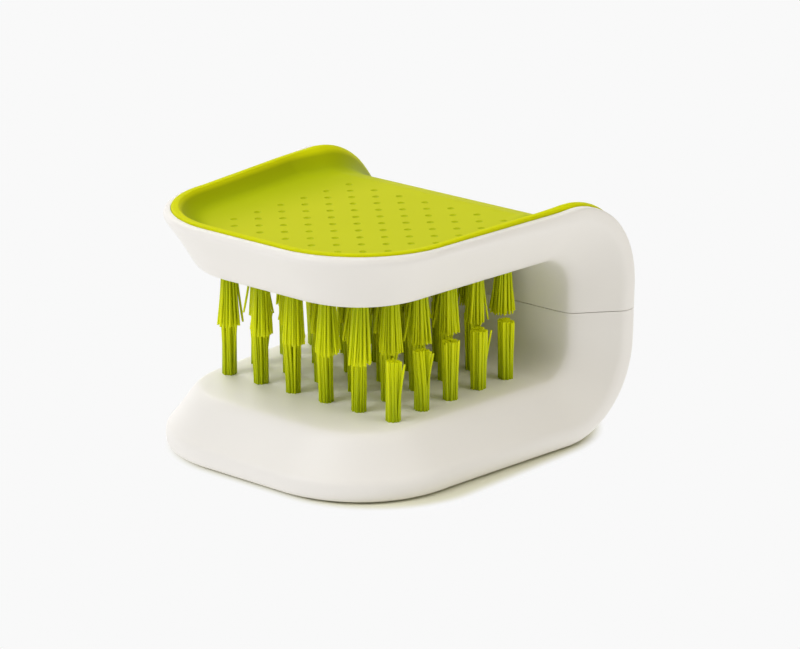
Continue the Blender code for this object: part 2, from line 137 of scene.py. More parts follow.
def bent(flat, half):
    """Bends flat points round the throat.

    A point first climbs the spine, then turns through a quarter circle whose radius is the throat's corner
    plus the point's depth, and then runs forwards along the arm.
    """
    x, station, depth = flat[..., 0], flat[..., 1], flat[..., 2]
    depth = depth * swell(station, half)
    turn = np.clip((station - BEND_START) / THROAT_CORNER, 0.0, math.pi / 2)
    radius = THROAT_CORNER + depth
    y = BEND_Y + radius * np.cos(turn) - np.maximum(station - BEND_END, 0.0)
    z = MIDDLE + half * (np.minimum(station, BEND_START) + radius * np.sin(turn))
    return np.stack([x, y, z], axis=-1)


def straight_y(station):
    """Depth of a station if the arm ran on straight past the bend."""
    return BEND_Y + BEND_END - station


def face_half(station):
    """Half the throat face's width: straight sides that open towards the spine."""
    y = np.minimum(straight_y(station), WALL_Y)
    share = (y - FACE_FRONT_Y) / (WALL_Y - FACE_FRONT_Y)
    return FACE_HALF_FRONT + share * (FACE_HALF_REAR - FACE_HALF_FRONT)


def side_flare(station):
    """Width of the flared wall at the side, which grows with the square of the way to the spine."""
    share = (straight_y(station) - FACE_FRONT_Y) / (WALL_Y + THROAT_CORNER - FACE_FRONT_Y)
    return FLARE_SIDE + np.clip(share, 0.0, 1.0) ** 2 * (FLARE_REAR - FLARE_SIDE)


# %% [markdown]
# ## Curves and grids
#
# A moulded wall has no sharp turns, so profiles are quadratic B-splines: each stretch is a parabola that
# runs between the midpoints of the control polygon's sides. Grids of points become quads, and grids that
# share an edge are welded into one closed skin.

# %% Splines and meshes
WELD = 0.002 * MM


def spline(control, steps):
    """Quadratic B-spline of a control polygon, from its first point to its last."""
    control = np.asarray(control, float)
    corner = control[1:-1]
    start = (control[:-2] + corner) / 2
    end = (corner + control[2:]) / 2
    start[0] = control[0]
    end[-1] = control[-1]
    t = (np.arange(steps) / steps)[None, :, None]
    curve = (1 - t) ** 2 * start[:, None] + 2 * t * (1 - t) * corner[:, None] + t ** 2 * end[:, None]
    return np.vstack([curve.reshape(-1, control.shape[1]), control[-1:]])


def between(first, last, steps):
    """Rows of points in equal steps from one row to another, both ends included."""
    share = np.linspace(0.0, 1.0, steps)[:, None, None]
    return first[None] * (1 - share) + last[None] * share


def quads(rows, columns):
    """Index quads of a grid of points stored row by row."""
    first = (np.arange(rows - 1)[:, None] * columns + np.arange(columns - 1)[None, :]).ravel()
    return np.stack([first, first + 1, first + columns + 1, first + columns], axis=1)


def shade(mesh, sharp_degrees=40.0):
    """Smooth shading with creases at the real edges."""
    mesh.shade_smooth()
    mesh.set_sharp_from_angle(angle=math.radians(sharp_degrees))


def skin(name, grids):
    """One welded object from grids of points, each an array of rows by columns by three."""
    points, faces, count = [], [], 0
    for grid in grids:
        rows, columns = grid.shape[:2]
        faces.append(quads(rows, columns) + count)
        points.append(grid.reshape(-1, 3))
        count += rows * columns
    mesh = bpy.data.meshes.new(name)
    mesh.from_pydata(np.vstack(points).tolist(), [], np.vstack(faces).tolist())
    bm = bmesh.new()
    bm.from_mesh(mesh)
    bmesh.ops.remove_doubles(bm, verts=bm.verts, dist=WELD)
    bmesh.ops.recalc_face_normals(bm, faces=bm.faces)
    open_edges = sum(1 for edge in bm.edges if len(edge.link_faces) != 2)
    bm.to_mesh(mesh)
    bm.free()
    shade(mesh)
    piece = bpy.data.objects.new(name, mesh)
    bpy.context.scene.collection.objects.link(piece)
    print(name, len(mesh.polygons), "faces,", open_edges, "open edges")
    return piece


# %% [markdown]
# ## Outlines
#
# The shells and the pad are made alike. An outline in plan says where each point is and which way is
# outwards, and a profile says how far out and how deep the surface goes. All outlines have the same three
# stretches with the same number of points, round the back, along the side and round the front corner, so a
# surface can run from one outline to another. Only the right half is worked out, which keeps the brush
# exactly even. The left half is its mirror image, and straight grids close what lies between them.

# %% Sizes of the pad's outline
SEAM_GAP = 0.16 * MM
SEAM_RISE = 0.45 * MM
CORNER_BULGE = {UPPER: 0.4 * MM, LOWER: 0.9 * MM}
RIM_BULGE = {UPPER: 0.0, LOWER: 0.4}
PAD_EDGE_SHARE = 0.80
PAD_END = 3.0 * MM
PAD_END_CORNER = 10.0 * MM
PAD_DRAW_IN = 0.8 * MM
REAR_TOP = PAD_END + PAD_END_CORNER
SHELL_STEPS = (52, 60, 48)
ACROSS_COLUMNS = 13


# %% Outline functions
def corner_outline(half_width, radius, steps):
    """Front corner of an outline: x, station and outward direction along a quarter circle."""
    angle = np.linspace(0.0, math.pi / 2, steps)
    across, along = np.cos(angle), np.sin(angle)
    return half_width - radius + radius * across, FAN + radius * along, across, along


def joined(*stretches):
    """Stretches of an outline, each a tuple of arrays, end to end."""
    return tuple(np.concatenate(parts) for parts in zip(*(np.broadcast_arrays(*s) for s in stretches)))


def shell_outline(steps, half):
    """Right half of the throat face's outline, from the seam to the front, with the flare at each point.

    The face's corner is a little fuller than a quarter circle: it bulges with the squared sine of twice the
    angle, and the upper one less than the lower one. The rim takes only a share of the bulge.
    """
    rear_steps, side_steps, corner_steps = steps
    rear = np.linspace(SEAM_GAP / 2 + half * SEAM_RISE, REAR_TOP, rear_steps)[:-1]
    side = np.linspace(REAR_TOP, FAN, side_steps)[:-1]
    x, s, across, along = corner_outline(face_half(FAN), FACE_CORNER, corner_steps)
    bulge = CORNER_BULGE[half] * (2 * across * along) ** 2
    flare = side_flare(FAN) * across ** 2 + FLARE_FRONT * along ** 2 - bulge * (1 - RIM_BULGE[half])
    return joined((face_half(rear), rear, 1.0, 0.0, side_flare(rear)),
                  (face_half(side), side, 1.0, 0.0, side_flare(side)),
                  (x + across * bulge, s + along * bulge, across, along, flare))


def pad_half(station):
    """Half the pad's width, drawn in a little as it goes down the back."""
    drawn = np.clip((BEND_END - station) / BEND_LENGTH, 0.0, 1.0)
    return face_half(station) + side_flare(station) * PAD_EDGE_SHARE - PAD_DRAW_IN * drawn


def pad_outline(steps):
    """Right half of the pad's outline, from the middle of its back end to its front corner."""
    rear_steps, side_steps, corner_steps = steps
    angle = np.linspace(-math.pi / 2, 0.0, rear_steps)[:-1]
    across, along = np.cos(angle), np.sin(angle)
    rear_x = pad_half(REAR_TOP) - PAD_END_CORNER * (1 - across)
    side = np.linspace(REAR_TOP, FAN, side_steps)[:-1]
    corner = corner_outline(pad_half(FAN), FACE_CORNER + FLARE_FRONT * PAD_EDGE_SHARE, corner_steps)
    return joined((rear_x, REAR_TOP + PAD_END_CORNER * along, across, along),
                  (pad_half(side), side, 1.0, 0.0), corner)


def across_grid(right, columns):
    """Straight lines from the right edge to its mirror image on the left."""
    left = right * np.array([-1.0, 1.0, 1.0])
    return np.swapaxes(between(right, left, columns), 0, 1)


def closed_band(right, columns=ACROSS_COLUMNS, inner_columns=ACROSS_COLUMNS):
    """All grids of a closed solid from the right half of its band, profile steps by outline steps."""
    left = right * np.array([-1.0, 1.0, 1.0])
    return [right, left, across_grid(right[:, -1], columns), across_grid(right[:, 0], columns),
            across_grid(right[0], inner_columns), across_grid(right[-1], columns)]


# %% [markdown]
# ## The white shells
#
# The arms flare like a soap dish: the wall leaves the throat face in a soft turn, runs out at about
# forty-five degrees and ends in a round rim. Curves drawn by hand could be lofted into such a wall, but
# rings of points that follow the throat face's outline stay even all the way round. On the upper shell they
# then cross over to the outline of the pad, so that the recess has exactly the pad's own shape.

# %% Wall profiles
RECESS_DEPTH = 8.8 * MM
RECESS_EDGE_DEPTH = 11.2 * MM
PAD_UNDERSIDE = 9.1 * MM
PAD_FLOOR = 10.9 * MM
PAD_DIP = 2.05 * MM
PAD_DIP_REACH = 3.4 * MM
RECESS_CLEARANCE = 0.04 * MM
RECESS_EDGE_WIDTH = 3.0 * MM
RECESS_EDGE_DIP = 0.6
RECESS_CLOSE = 6.0 * MM
WALL_STEPS = 6
RIM_STEPS = 12
RIM_TOPS = (0.975, 1.0)

# Control points of the walls: a share of the flare outwards, and a share of the arm's thickness in depth.
LOWER_WALL_SHARES = ((-0.55, 0.0), (-0.02, 0.0), (0.20, 0.057), (0.47, 0.30), (0.80, 0.585), (0.97, 0.70),
                     (0.99, 0.87), (0.93, 1.0), (0.75, 1.0), (0.40, 1.0))
FRONT_RIM_SHARES = ((-0.55, 0.0), (0.02, 0.0), (0.195, 0.065), (0.41, 0.31), (0.66, 0.575), (0.91, 0.79),
                    (0.99, 0.88), (0.94, 0.955), (0.88, 0.972), (0.83, 0.975))
REAR_RIM_SHARES = ((-0.55, 0.0), (-0.02, 0.0), (0.20, 0.057), (0.47, 0.30), (0.80, 0.60), (0.985, 0.76),
                   (1.01, 0.86), (1.005, 0.96), (0.965, 1.0), (0.89, 1.0))


# %% Rings of the shells
def floor_dip(station):
    """How much deeper the pad lies where it turns down the back: one smooth wave of a squared sine."""
    share = np.clip((BEND_END + PAD_DIP_REACH - station) / (BEND_LENGTH + 2 * PAD_DIP_REACH), 0.0, 1.0)
    return PAD_DIP * np.sin(math.pi * share) ** 2


def grid_of(x, station, depth):
    """One array of points from values that spread over rows and columns."""
    return np.stack(np.broadcast_arrays(x, station, depth), axis=-1)


def rearward(station):
    """How far back a station lies on the arm: 0 at the front corner, 1 at the back of the pad's side."""
    return np.clip((FAN - station) / (FAN - REAR_TOP), 0.0, 1.0)


def wall_rings(half, *sections):
    """Flat rings of a flared wall, whose spread is a share of the flare.

    A section is a station and the wall's profile there. Between two stations the profile changes evenly.
    """
    x, s, across, along, flare = shell_outline(SHELL_STEPS, half)
    stations = [station for station, shares in sections]
    profiles = np.array([spline(shares, WALL_STEPS) for station, shares in sections])
    weights = np.array([np.interp(s, stations, only_one) for only_one in np.eye(len(sections))])
    spread, height = np.einsum("kpc,ks->cps", profiles, weights)
    return grid_of(x + across * flare * spread, s + along * flare * spread, height * ARM)


def pad_rings(steps, inset, depth, dip_share):
    """Flat rings inside the pad's outline; inset, depth and share of the dip are columns of values."""
    x, s, across, along = pad_outline(steps)
    place = s - along * inset
    return grid_of(x - across * inset, place, depth - dip_share * floor_dip(place))


def column(*values):
    """Values as a column, so that they spread over the points of an outline."""
    return np.array(values, float)[:, None]


# %% Shells
lower_shell = skin("lower_shell", closed_band(bent(wall_rings(LOWER, (0.0, LOWER_WALL_SHARES)), LOWER)))

upper_wall = wall_rings(UPPER, (0.0, LOWER_WALL_SHARES), (REAR_TOP, REAR_RIM_SHARES),
                        (FAN, FRONT_RIM_SHARES))
recess_inset = column(-RECESS_CLEARANCE, -RECESS_CLEARANCE, RECESS_EDGE_WIDTH, RECESS_CLOSE)
recess_depth = column(0.0, RECESS_EDGE_DEPTH, RECESS_DEPTH, RECESS_DEPTH)
recess = pad_rings(SHELL_STEPS, recess_inset, recess_depth, column(0.0, RECESS_EDGE_DIP, 1.0, 1.0))
rim_front, rim_rear = RIM_TOPS
recess[0, :, 2] = ARM * (rim_front + (rim_rear - rim_front) * rearward(recess[0, :, 1]))
top_rings = between(upper_wall[-1], recess[0], RIM_STEPS)
upper_rings = np.concatenate([upper_wall[:-1], top_rings, recess[1:]])
upper_shell = skin("upper_shell", closed_band(bent(upper_rings, UPPER)))

# %% [markdown]
# ## Hollow arms
#
# A thick moulding would sink as it cools, so the arms are hollow: the upper one is closed by a lid under the
# pad, the lower one by a cover above the foot pad. The hollows are cut with exact booleans, from level rings
# that follow the same outline: one skin that ran in and out of both pockets would be far harder to close.
# Two screws pull the shells together, so their bores are cut too.

# %% Level rings and cuts
FIT_GAP = 0.3 * MM
OVERRUN = 2.0 * MM
PLAN_SIDE_STEPS = 40
PLAN_CORNER_STEPS = 48
CUTTER_COLUMNS = 3


def plan_rings(share, border, rear_y, level):
    """Level rings inside an arm: the throat face's outline, spread by a share of the flare, less a border."""
    side = np.linspace(BEND_Y + BEND_END - rear_y, FAN, PLAN_SIDE_STEPS)[:-1]
    x, s, across, along = corner_outline(face_half(FAN), FACE_CORNER, PLAN_CORNER_STEPS)
    flare = side_flare(FAN) * across ** 2 + FLARE_FRONT * along ** 2
    x, s, across, along, flare = joined((face_half(side), side, 1.0, 0.0, side_flare(side)),
                                        (x, s, across, along, flare))
    spread = flare * share - border
    return grid_of(x + across * spread, straight_y(s + along * spread), level)


def turned(profile, centre, sides=32):
    """A profile of radius and height carried round an upright axis, from axis to axis."""
    angle = np.linspace(0.0, 2 * math.pi, sides + 1)
    radius, height = np.asarray(profile, float).T[:, :, None]
    x = centre[0] + radius * np.cos(angle)
    y = centre[1] + radius * np.sin(angle)
    return grid_of(x, y, centre[2] + height)


def cut(piece, grids):
    """Takes a closed solid away from a piece with an exact boolean, and keeps the result."""
    cutter = skin("cutter", grids)
    modifier = piece.modifiers.new("Cut", "BOOLEAN")
    modifier.solver = "EXACT"
    modifier.object = cutter
    bpy.context.view_layer.update()
    evaluated = piece.evaluated_get(bpy.context.evaluated_depsgraph_get())
    piece_mesh = bpy.data.meshes.new_from_object(evaluated)
    piece.modifiers.clear()
    piece.data = piece_mesh
    shade(piece_mesh)
    bpy.data.objects.remove(cutter, do_unlink=True)


# %% Hollows
ARM_HOLLOW_SHARE = 0.50
LID_SHARE = 0.58
LID_BORDER = 0.4 * MM
LID_SEAT = 2.2 * MM
LID_REAR_Y = BEND_Y - 7.0 * MM
COVER_SHARE = 0.93
COVER_BORDER = 2.4 * MM
COVER_SEAT = 1.8 * MM
COVER_REAR_Y = BEND_Y - 1.5 * MM
FACE_WALL = 5.0 * MM
SIDE_WALL = 2.6 * MM


def hollow(shell, half, share, border, seat, rear_y, seat_level, open_level):
    """Cuts a plate's pocket and, inside its seat, the hollow of the arm down to the throat face's wall."""
    cut(shell, closed_band(plan_rings(share, border, rear_y, column(seat_level, open_level)), CUTTER_COLUMNS))
    face_level = (THROAT_ROOF if half == UPPER else THROAT_FLOOR) + half * FACE_WALL
    inner = plan_rings(ARM_HOLLOW_SHARE, SIDE_WALL, rear_y - seat, column(face_level))
    outer = plan_rings(share, border + seat, rear_y - seat, column(open_level))
    cut(shell, closed_band(np.concatenate([inner, outer]), CUTTER_COLUMNS))


lid_low, lid_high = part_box("pad_lid")
cover_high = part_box("base_cover")[1]
hollow(upper_shell, UPPER, LID_SHARE, LID_BORDER, LID_SEAT, LID_REAR_Y,
       lid_low[2] - FIT_GAP, lid_high[2] + OVERRUN)
hollow(lower_shell, LOWER, COVER_SHARE, COVER_BORDER, COVER_SEAT, COVER_REAR_Y,
       cover_high[2] + FIT_GAP, -OVERRUN)

# %% Screw bores
SHANK_BORE = 1.8 * MM
HEAD_BORE = 3.1 * MM
HEAD_HEIGHT = 2.0 * MM
BORE_TOP = 2 * ARM

for node in ("spine_screw_left", "spine_screw_right"):
    low, high = (np.array(corner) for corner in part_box(node))
    centre = (low + high) / 2
    centre[2] = high[2] - HEAD_HEIGHT
    depth = centre[2] - low[2] + FIT_GAP
    bore = ((0.0, BORE_TOP), (HEAD_BORE, BORE_TOP), (HEAD_BORE, -FIT_GAP), (SHANK_BORE, -FIT_GAP),
            (SHANK_BORE, -depth), (0.0, -depth))
    for shell in (upper_shell, lower_shell):
        cut(shell, [turned(bore, centre)])
    print(node, "bore at", centre.tolist(), "down to", depth)

for shell, node in ((lower_shell, "lower_housing"), (upper_shell, "upper_housing")):
    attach(shell, "root")
    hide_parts(node)

# %% [markdown]
# ## The foot pad
#
# The brush stands on a thin moulded rubber plate that is let into the underside. It holds the housing clear
# of the table, so a dark line runs round the foot of the brush. A plain extrusion would have a sharp edge
# there, so the plate is built up from level rings, of which the lowest draw in round a quarter circle.

# %% Foot pad
FOOT_ROUND = 0.35 * MM
FOOT_EDGE_STEPS = 5

foot_low, foot_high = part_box("foot_pad")
turn = np.linspace(0.0, math.pi / 2, FOOT_EDGE_STEPS)[:, None]
foot_border = COVER_BORDER + FIT_GAP + FOOT_ROUND * (1 - np.cos(turn))
foot_level = foot_low[2] + FOOT_ROUND * (1 - np.sin(turn))
foot_edge = plan_rings(COVER_SHARE, foot_border, COVER_REAR_Y - FIT_GAP, foot_level)
foot_top = plan_rings(COVER_SHARE, COVER_BORDER + FIT_GAP, COVER_REAR_Y - FIT_GAP, column(foot_high[2]))
foot = skin("foot_plate", closed_band(np.concatenate([foot_top, foot_edge])))
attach(foot, "root")
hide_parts("foot_pad")

# %% [markdown]
# ## The grip pad
#
# The pad is a moulded tray of soft rubber: a flat floor, a slope, and a lip all round that stands higher
# towards the back. Where the pad turns down the back its slope is straighter, so two profiles are blended
# along the outline. Round dimples cover the floor in a diagonal grid. A bump texture would only fake them,
# so they are real dents, in faces that are divided again round each dimple.

# %% Pad profiles
PAD_STEPS = (44, 96, 52)
PAD_COLUMNS = 91
PAD_SLOPE = 13.0 * MM
PAD_LIP_HEIGHTS = ((PAD_END, 3.6 * MM), (BEND_START, 3.6 * MM), (12.5 * MM, 3.9 * MM), (BEND_END, 3.59 * MM),
                   (23.0 * MM, 3.8 * MM), (32.0 * MM, 3.72 * MM), (FAN, 3.25 * MM))
PAD_PROFILE_STEPS = 5
PAD_TURN_REACH = 3 * PAD_DIP_REACH

# Control points of the slope: a share of its width inwards, and a share of the lip's height.
ARM_SHARES = ((0.0, 0.30), (0.0, 0.88), (0.02, 1.0), (0.11, 1.0), (0.135, 0.985), (0.16, 0.90),
              (0.23, 0.62), (0.35, 0.28), (0.52, 0.06), (0.75, 0.0), (1.0, 0.0))
BEND_SHARES = ((0.0, 0.30), (0.0, 0.85), (0.02, 0.94), (0.10, 1.0), (0.15, 1.0), (0.22, 0.95), (0.34, 0.76),
               (0.48, 0.50), (0.64, 0.26), (0.81, 0.09), (1.0, 0.0))


def lip_height(station):
    """Height of the pad's lip over its floor: greatest where the pad turns down the back."""
    stations, heights = zip(*PAD_LIP_HEIGHTS)
    return np.interp(station, stations, heights)


def pad_band():
    """Flat right half of the pad's skin, from its underside over the lip to the floor.

    The slope's profile changes evenly from the arm's to the bend's over a short reach before the bend.
    """
    x, s, across, along = pad_outline(PAD_STEPS)
    lift = lip_height(s)
    turned_down = np.clip((BEND_END + PAD_TURN_REACH - s) / PAD_TURN_REACH, 0.0, 1.0)
    arm, bend = (spline(shares, PAD_PROFILE_STEPS)[:, :, None] for shares in (ARM_SHARES, BEND_SHARES))
    inset, height = np.moveaxis(arm * (1 - turned_down) + bend * turned_down, 1, 0)
    inset = inset * PAD_SLOPE
    place = s - along * inset
    dip = floor_dip(place) * (1 - np.clip(height, 0.0, 1.0))
    skin_rings = grid_of(x - across * inset, place, PAD_FLOOR + height * lift - dip)
    under = pad_rings(PAD_STEPS, column(RECESS_EDGE_WIDTH, 0.0),
                      column(PAD_UNDERSIDE, RECESS_EDGE_DEPTH + FIT_GAP), column(1.0, RECESS_EDGE_DIP))
    return np.concatenate([under, skin_rings])


grip = skin("grip_pad_soft", closed_band(bent(pad_band(), UPPER), PAD_COLUMNS))

# %% Dimples
DIMPLE_RADIUS = 0.86 * MM
DIMPLE_DEPTH = 0.19 * MM
DIMPLE_ROWS = 12
DIMPLE_REACH = 6
DIMPLE_STEP = 3.88 * MM
DIMPLE_MIDDLE_X = 4.4 * MM
DIMPLE_FRONT_Y = -29.4 * MM
DIMPLE_INSET = 7.0 * MM
DIMPLE_MARGIN = 0.5 * MM
DIMPLE_CUTS = 3
# Rise given to the dimples: it paints them darker as shade in the recess, takes the painted sheen off them,
# and makes them a little smoother.
DIMPLE_PAINTED_SHADE_RISE = 0.10
NO_DIMPLE = 1.0
FLOOR_LEVEL = THROAT_ROOF + PAD_FLOOR
FLOOR_SLACK = 1.0 * MM
PAD_SHARP_DEGREES = 60.0


def pad_inset(x, y):
    """How far inside the pad's outline a place on the arm lies, at its side or round its front corner."""
    radius = FACE_CORNER + FLARE_FRONT * PAD_EDGE_SHARE
    past_side = np.maximum(np.abs(x) - pad_half(FAN) + radius, 0.0)
    past_front = straight_y(FAN) - y
    side = pad_half(BEND_Y + BEND_END - y) - np.abs(x)
    return np.where(past_front > 0, radius - np.hypot(past_side, past_front), side)


def dimple_distance(points):
    """Distance of points from the nearest dimple's centre; every second row is shifted by half a pitch."""
    row = np.clip(np.rint((points[:, 1] - DIMPLE_FRONT_Y) / DIMPLE_STEP), 0, DIMPLE_ROWS - 1)
    shift = (row + 1) % 2
    number = 2 * np.rint(((points[:, 0] - DIMPLE_MIDDLE_X) / DIMPLE_STEP - shift) / 2) + shift
    centre_x, centre_y = DIMPLE_MIDDLE_X + number * DIMPLE_STEP, DIMPLE_FRONT_Y + row * DIMPLE_STEP
    away = np.hypot(points[:, 0] - centre_x, points[:, 1] - centre_y)
    on_top = (np.abs(number) <= DIMPLE_REACH) & (points[:, 2] > FLOOR_LEVEL - FLOOR_SLACK)
    return np.where(on_top & (pad_inset(centre_x, centre_y) > DIMPLE_INSET), away, NO_DIMPLE)


def pad_rise(points):
    """Height over the pad's floor as a share of the lip's, from 0 to 1, all the way round the bend.

    The angle and distance from the bend's axis give a point's station and depth back.
    """
    back = np.maximum(points[:, 1] - BEND_Y, 0.0)
    up = np.maximum(points[:, 2] - MIDDLE - BEND_START, 0.0)
    station = np.minimum(points[:, 2] - MIDDLE, BEND_START) + THROAT_CORNER * np.arctan2(up, back)
    station = station + np.maximum(BEND_Y - points[:, 1], 0.0)
    depth = (np.hypot(back, up) - THROAT_CORNER) / swell(station, UPPER)
    lift = lip_height(station)
    return np.clip((depth - PAD_FLOOR + floor_dip(station)) / (lift + floor_dip(station)), 0.0, 1.0)


def vertex_places(mesh):
    """All vertices of a mesh as an array."""
    places = np.empty(len(mesh.vertices) * 3, np.float32)
    mesh.vertices.foreach_get("co", places)
    return places.reshape(-1, 3)


def add_dimples(piece):
    """Divides the faces round each dimple and sinks them.

    Depth falls off as the square of one minus the fourth power of the share of the radius.
    """
    bm = bmesh.new()
    bm.from_mesh(piece.data)
    bm.verts.ensure_lookup_table()
    near = dimple_distance(vertex_places(piece.data)) < DIMPLE_RADIUS + DIMPLE_MARGIN
    edges = [edge for edge in bm.edges if near[edge.verts[0].index] or near[edge.verts[1].index]]
    bmesh.ops.subdivide_edges(bm, edges=edges, cuts=DIMPLE_CUTS, use_grid_fill=True)
    bm.to_mesh(piece.data)
    bm.free()
    places = vertex_places(piece.data)
    share = np.clip(dimple_distance(places) / DIMPLE_RADIUS, 0.0, 1.0)
    places[:, 2] -= DIMPLE_DEPTH * (1 - share ** 4) ** 2
    piece.data.vertices.foreach_set("co", places.ravel())
    # In the dimples the rise is set to a fixed value that paints them darker, as shade in the recess.
    values = np.where(share < 1.0, DIMPLE_PAINTED_SHADE_RISE, pad_rise(places)).astype(np.float32)
    piece.data.attributes.new("rise", "FLOAT", "POINT").data.foreach_set("value", values)
    shade(piece.data, PAD_SHARP_DEGREES)
    print("pad after dimples", len(piece.data.polygons), "faces")


add_dimples(grip)
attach(grip, "root")
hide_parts("grip_pad")

# %% [markdown]
# ## The bristles
#
# Each tuft is a bundle of stiff nylon filaments, folded once and stapled into a round hole. The lower tufts
# stand straight and are cut level. The upper ones have opened into skirts that hang over the lower ones. A
# tuft parts into a few locks that lean their own way, and here and there a filament has strayed. A particle
# system could grow them, but arrays give full control of every filament and an ordinary mesh as a result.

# %% Sizes of the tufts
FILAMENTS = 42
FILAMENT_SIDES = 6
FILAMENT_RINGS = 8
FILAMENT_RADIUS = 0.285 * MM
TUFT_RADIUS = 1.58 * MM
ROOT_SINK = 1.0 * MM
LOCKS = 3
GOLDEN_ANGLE = math.pi * (3 - math.sqrt(5))

# Spreads of chance: the lowest and highest share, or the usual size, of what differs between filaments.
FILAMENT_REACH = (0.85, 1.08)
TUFT_REACH = (0.75, 1.25)
TUFT_LEAN = 0.1 * MM
SWAY = 0.05 * MM
STRAY_SHARE = (0.5, 1.5)
STRAY_AT_CORE = 0.4
STRAY_SHORTER = 0.5 * MM
STRAY_POWER = 1.6
THICKNESS = (0.88, 1.12)
TIP_TAPER = 0.86
FILAMENT_SHARP_DEGREES = 70.0


# %% Filament paths
def tuft_filaments(rng, centres, face_z, half, form):
    """Paths of all filaments of a row, filaments by rings by three.

    Roots fill a disc in a sunflower spiral. A filament leaves its root upright and leans outwards with a
    power of its height, together with the other filaments of its lock. A few strays lean much further.
    """
    tufts = len(centres)
    index = np.tile(np.arange(FILAMENTS), tufts)
    owner = np.repeat(np.arange(tufts), FILAMENTS)
    count = len(owner)
    radius = np.sqrt((index + 0.5) / FILAMENTS)
    angle = index * GOLDEN_ANGLE + rng.uniform(0, 2 * math.pi, tufts)[owner]
    direction = np.stack([np.cos(angle), np.sin(angle)], axis=1)
    lock = ((angle / (2 * math.pi) + rng.uniform(0, 1, tufts)[owner]) * LOCKS % LOCKS).astype(int)
    lean = rng.normal(0, form["lean"], (tufts, LOCKS, 2))[owner, lock]
    lean = lean + rng.normal(0, TUFT_LEAN, (tufts, 2))[owner]
    strayed = rng.uniform(0, 1, count) < form["strays"] * (STRAY_AT_CORE + radius)
    stray = strayed * rng.uniform(*STRAY_SHARE, count)
    stray_way = direction + np.array(form["stray_way"])
    reach = form["spread"] * radius * rng.uniform(*FILAMENT_REACH, count)
    reach = reach * rng.uniform(*TUFT_REACH, tufts)[owner]
    uneven = rng.uniform(0, 1, (tufts, LOCKS))[owner, lock] * form["lock_step"]
    length = form["length"] + form["tilt"] * centres[owner, 0]
    top = length - form["ragged"] * rng.uniform(0, 1, count) - uneven - STRAY_SHORTER * stray
    t = np.linspace(0, 1, FILAMENT_RINGS)
    height = t[None, :] * (top[:, None] + ROOT_SINK) - ROOT_SINK
    out = np.clip(height / top[:, None], 0, 1)
    root = centres[owner] + direction * (radius * TUFT_RADIUS)[:, None]
    flare = (direction * reach[:, None] + lean)[:, None] * (out ** form["power"])[..., None]
    stray_bend = (out ** STRAY_POWER)[..., None]
    flare = flare + (stray_way * stray[:, None] * form["stray_reach"])[:, None] * stray_bend
    sway = rng.normal(0, SWAY, (count, 2))[:, None] * np.sin(out * math.pi)[..., None]
    xy = root[:, None] + flare + sway
    return np.concatenate([xy, (face_z - half * height)[..., None]], axis=-1)


# %% Filament meshes
def filament_mesh(name, rng, paths, half):
    """Thin prisms along the paths, with cut ends.

    The attribute tone is each filament's own, and along runs from 0 at its root to 1 at its tip.
    """
    count = len(paths)
    spin = np.arange(FILAMENT_SIDES) / FILAMENT_SIDES * 2 * math.pi
    angle = spin[None, :] + rng.uniform(0, 2 * math.pi, count)[:, None]
    thickness = FILAMENT_RADIUS * rng.uniform(*THICKNESS, count)
    taper = np.array([1.0] * (FILAMENT_RINGS - 1) + [TIP_TAPER])
    ring = np.stack([np.cos(angle), -half * np.sin(angle), 0 * angle], axis=-1)
    body = paths[:, :, None] + ring[:, None] * (thickness[:, None] * taper[None, :])[..., None, None]
    first = (np.arange(count) * FILAMENT_RINGS * FILAMENT_SIDES)[:, None, None]
    row = (np.arange(FILAMENT_RINGS - 1) * FILAMENT_SIDES)[None, :, None]
    side = np.arange(FILAMENT_SIDES)[None, None, :]
    after = (side + 1) % FILAMENT_SIDES
    walls = np.stack([first + row + side, first + row + after, first + row + after + FILAMENT_SIDES,
                      first + row + side + FILAMENT_SIDES], axis=-1).reshape(-1, 4)
    last = (FILAMENT_RINGS - 1) * FILAMENT_SIDES
    ends = first[:, 0] + last + np.arange(FILAMENT_SIDES)[None, :]
    roots = first[:, 0] + np.arange(FILAMENT_SIDES)[None, ::-1]
    mesh = bpy.data.meshes.new(name)
    mesh.from_pydata(body.reshape(-1, 3).tolist(), [], walls.tolist() + ends.tolist() + roots.tolist())
    shade(mesh, FILAMENT_SHARP_DEGREES)
    points = FILAMENT_RINGS * FILAMENT_SIDES
    values = {"tone": np.repeat(rng.uniform(0, 1, count), points),
              "along": np.tile(np.repeat(np.linspace(0, 1, FILAMENT_RINGS), FILAMENT_SIDES), count)}
    for label, value in values.items():
        mesh.attributes.new(label, "FLOAT", "POINT").data.foreach_set("value", value.astype(np.float32))
    piece = bpy.data.objects.new(name, mesh)
    bpy.context.scene.collection.objects.link(piece)
    return piece


# %% Rows
LOWER_FORM = {"length": 14.1 * MM, "tilt": 0.0, "spread": 0.20 * MM, "power": 1.3, "lean": 0.32 * MM,
              "ragged": 0.20 * MM, "lock_step": 0.30 * MM,
              "strays": 0.03, "stray_reach": 0.9 * MM, "stray_way": (0.6, 0.6)}
UPPER_FORM = {"length": 14.45 * MM, "tilt": 0.012, "spread": 1.05 * MM, "power": 1.15, "lean": 0.14 * MM,
              "ragged": 0.35 * MM, "lock_step": 0.15 * MM,
              "strays": 0.09, "stray_reach": 0.8 * MM, "stray_way": (0.0, 0.0)}
LOWER_ROWS, LOWER_TUFTS = 5, 6
UPPER_ROWS, UPPER_TUFTS = 6, 5
SEED = 7


